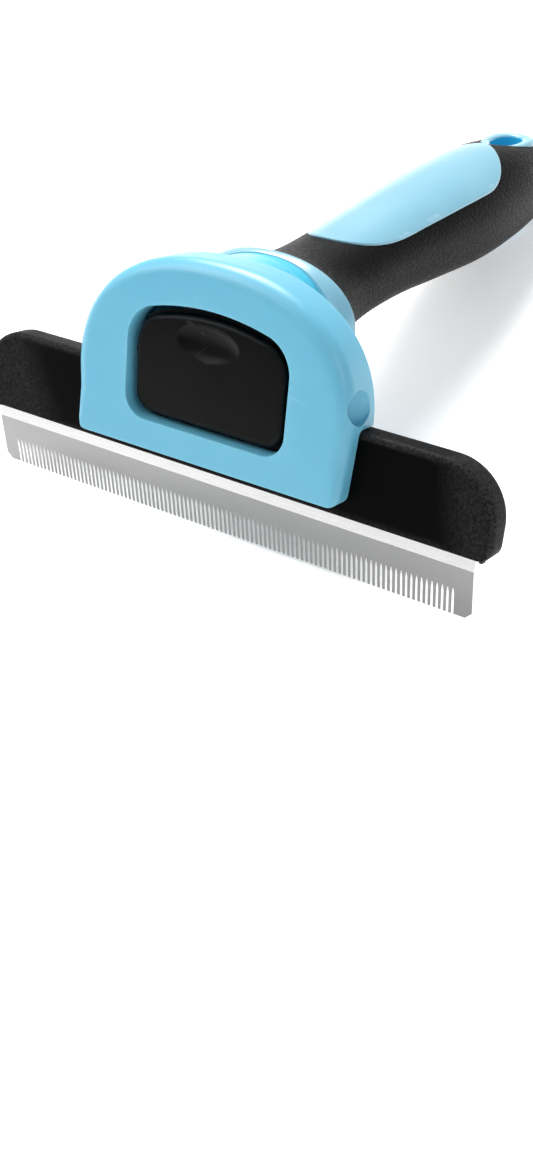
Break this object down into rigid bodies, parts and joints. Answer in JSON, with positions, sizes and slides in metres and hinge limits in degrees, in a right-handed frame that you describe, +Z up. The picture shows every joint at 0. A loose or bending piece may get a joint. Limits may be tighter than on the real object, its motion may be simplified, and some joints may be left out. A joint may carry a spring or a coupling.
{
  "type": "deshedding tool",
  "caption": "Pet deshedding tool: fine steel comb in a click-in carrier on a D-shaped head with a release rocker, on a rubber-gripped handle with a hanging eyelet.",
  "frame": {"origin": "middle of the footprint on the surface that the tool rests on, comb teeth and handle end down", "axes": "+X across the comb, +Y from the head towards the handle's end, +Z up"},
  "size_m": [0.1064, 0.1282, 0.047],
  "materials": {
    "sky_blue_plastic": "satin moulded ABS",
    "pale_blue_plastic": "glossy moulded ABS",
    "black_plastic": "satin moulded ABS",
    "grip_rubber": "fine spark-eroded texture",
    "stainless_steel": "brushed strip and ground bevel"
  },
  "bodies": {
    "head_and_handle": {"front_cover": "sky_blue_plastic", "rear_housing": "sky_blue_plastic", "handle_core": "pale_blue_plastic", "inlay_panel": "pale_blue_plastic", "hang_eyelet": "pale_blue_plastic", "grip_sleeve": "grip_rubber", "button_pivot_pin": "stainless_steel", "head_screw_1": "stainless_steel", "head_screw_2": "stainless_steel", "neck_screw_1": "stainless_steel", "neck_screw_2": "stainless_steel"},
    "button": {"release_button": "black_plastic", "latch_leaf": "stainless_steel", "button_return_spring": "stainless_steel"},
    "comb_cartridge": {"carrier_body": "black_plastic", "blade_clamp_bar": "black_plastic", "comb_blade": "stainless_steel", "clamp_screw_1": "stainless_steel", "clamp_screw_2": "stainless_steel", "clamp_screw_3": "stainless_steel", "clamp_screw_4": "stainless_steel"}
  },
  "joints": [
    {"name": "button_rock", "type": "hinge", "parent": "head_and_handle", "child": "button", "pos_m": [0, -0.05385, 0.02993], "axis": [-1, 0, 0], "range_deg": [0, 9], "stiffness_Nm_per_rad": 0.12, "deforming": ["button_return_spring"]},
    {"name": "carrier_release", "type": "slide", "parent": "head_and_handle", "child": "comb_cartridge", "axis": [0, -0.3966, -0.918], "range_m": [0, 0.04], "deforming": ["latch_leaf"]}
  ]
}
